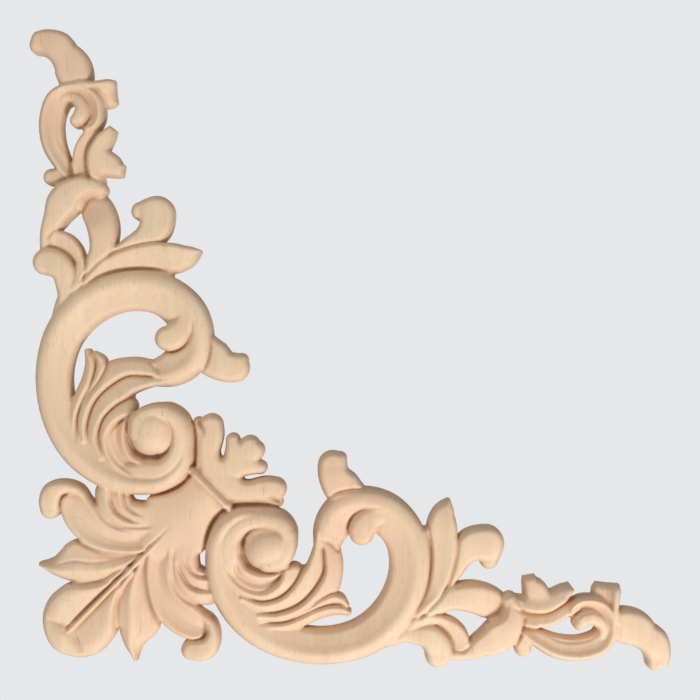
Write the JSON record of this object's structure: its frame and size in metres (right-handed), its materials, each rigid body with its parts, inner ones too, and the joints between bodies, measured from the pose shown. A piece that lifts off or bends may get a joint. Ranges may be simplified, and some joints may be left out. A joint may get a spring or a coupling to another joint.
{
  "type": "carved corner onlay",
  "caption": "Carved wooden corner onlay: a fanned leaf at the corner, a scrolled acanthus arm each way and a flat back.",
  "frame": {"origin": "on the flat back, on the corner's diagonal, 44.5 mm in from both outer edges of the 200 mm square", "axes": "+Y out of the flat back towards whatever it is glued to, -Y out of the carved face, +X and +Z along the two equal arms, away from the corner leaf"},
  "size_m": [0.2, 0.015, 0.2],
  "materials": {
    "bare_wood": "bare, finely sanded pale rubberwood with faint grain"
  },
  "bodies": {
    "root": {"corner_onlay": "bare_wood"}
  },
  "joints": []
}
